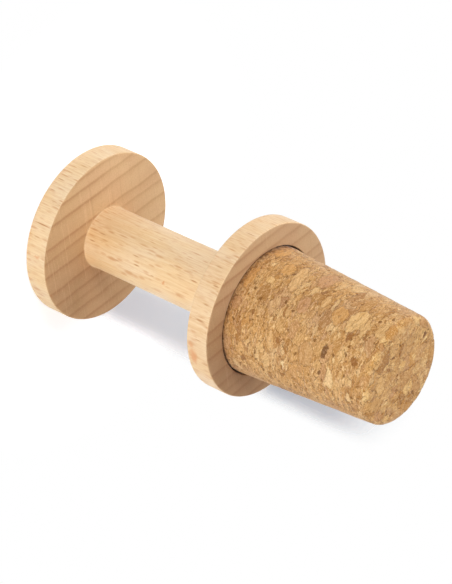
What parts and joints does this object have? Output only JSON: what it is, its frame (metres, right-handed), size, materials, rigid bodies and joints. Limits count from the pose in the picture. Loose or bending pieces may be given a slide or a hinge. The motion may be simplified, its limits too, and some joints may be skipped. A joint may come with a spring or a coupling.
{
  "type": "wooden bottle stopper",
  "caption": "Turned beech handle with a flat round knob and flange, and a tapered pressed-cork plug glued into the flange, to close a wine bottle.",
  "frame": {"origin": "centre of the knob's flat outer face, on which the stopper stands", "axes": "+Z along the turning axis, from the knob to the cork's free end; X and Y are alike on this round part, and the growth rings of the wood cross them at an angle"},
  "size_m": [0.032, 0.032, 0.0714],
  "materials": {
    "beech_wood": "bare turned beech, fine sanded, satin",
    "cork": "agglomerated cork granules, ground, matte"
  },
  "bodies": {
    "root": {"turned_handle": "beech_wood", "tapered_cork": "cork"}
  },
  "joints": []
}
